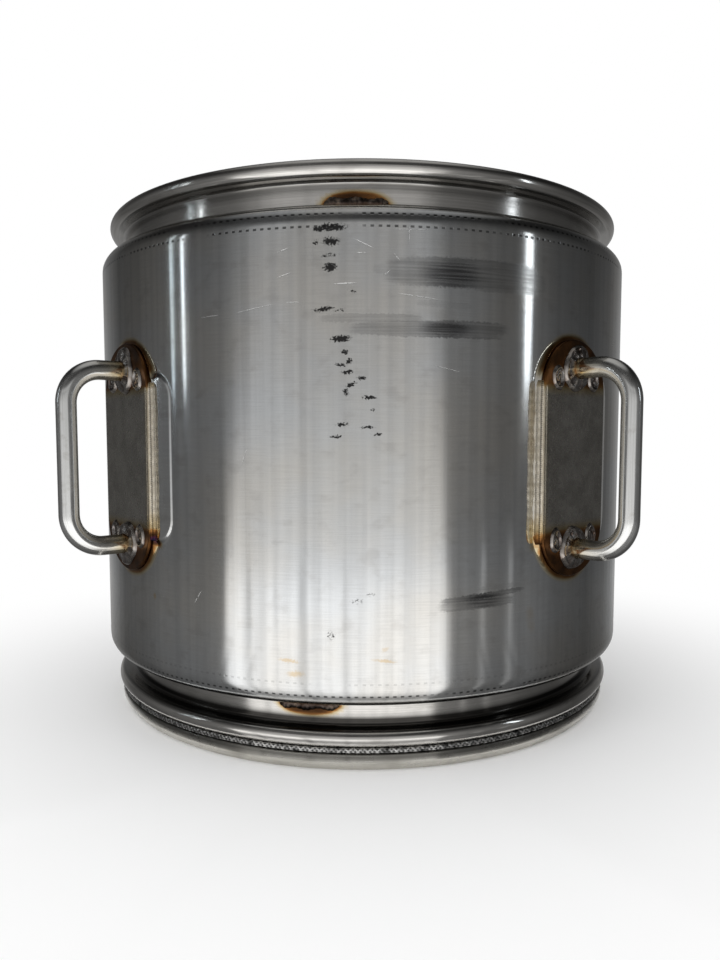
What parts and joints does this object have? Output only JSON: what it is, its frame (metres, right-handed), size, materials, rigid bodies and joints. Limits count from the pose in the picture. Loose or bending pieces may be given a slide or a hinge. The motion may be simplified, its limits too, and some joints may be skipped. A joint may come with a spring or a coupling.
{
  "type": "diesel particulate filter",
  "caption": "Insulated steel canister round a ceramic wall-flow soot filter, with a rolled bead flange at each end, a braided gasket, a pilot collar and two bar handles.",
  "frame": {"origin": "on the canister's axis, at the lowest edge of the pilot collar, where it stands", "axes": "+Z along the canister's axis towards the inlet flange; -Y between the two handles, which stand 45 degrees either side of it; +X towards the right handle"},
  "size_m": [0.32, 0.32, 0.2841],
  "materials": {
    "shell_steel": "rolled stainless sheet, fine vertical brush, scuffed",
    "flange_steel": "pressed stainless, satin with bright bead",
    "gasket_wire": "braided wire, sooty with bright flecks",
    "can_steel": "dull stainless, browned by heat",
    "blanket_fibre": "felted mineral fibre",
    "filter_ceramic": "porous honeycomb, matt",
    "mat_fibre": "needled ceramic fibre mat",
    "plate_steel": "stainless plate, heat tinted brown and straw round the welds",
    "handle_steel": "polished stainless bar"
  },
  "bodies": {
    "root": {"outer_shell": "shell_steel", "inlet_flange": "flange_steel", "outlet_flange": "flange_steel", "flange_gasket": "gasket_wire", "pilot_collar": "flange_steel", "filter_can": "can_steel", "insulation_blanket": "blanket_fibre", "filter_substrate": "filter_ceramic", "support_mat": "mat_fibre", "upper_retaining_ring": "can_steel", "lower_retaining_ring": "can_steel", "right_handle_plate": "plate_steel", "right_handle": "handle_steel", "left_handle_plate": "plate_steel", "left_handle": "handle_steel"}
  },
  "joints": []
}
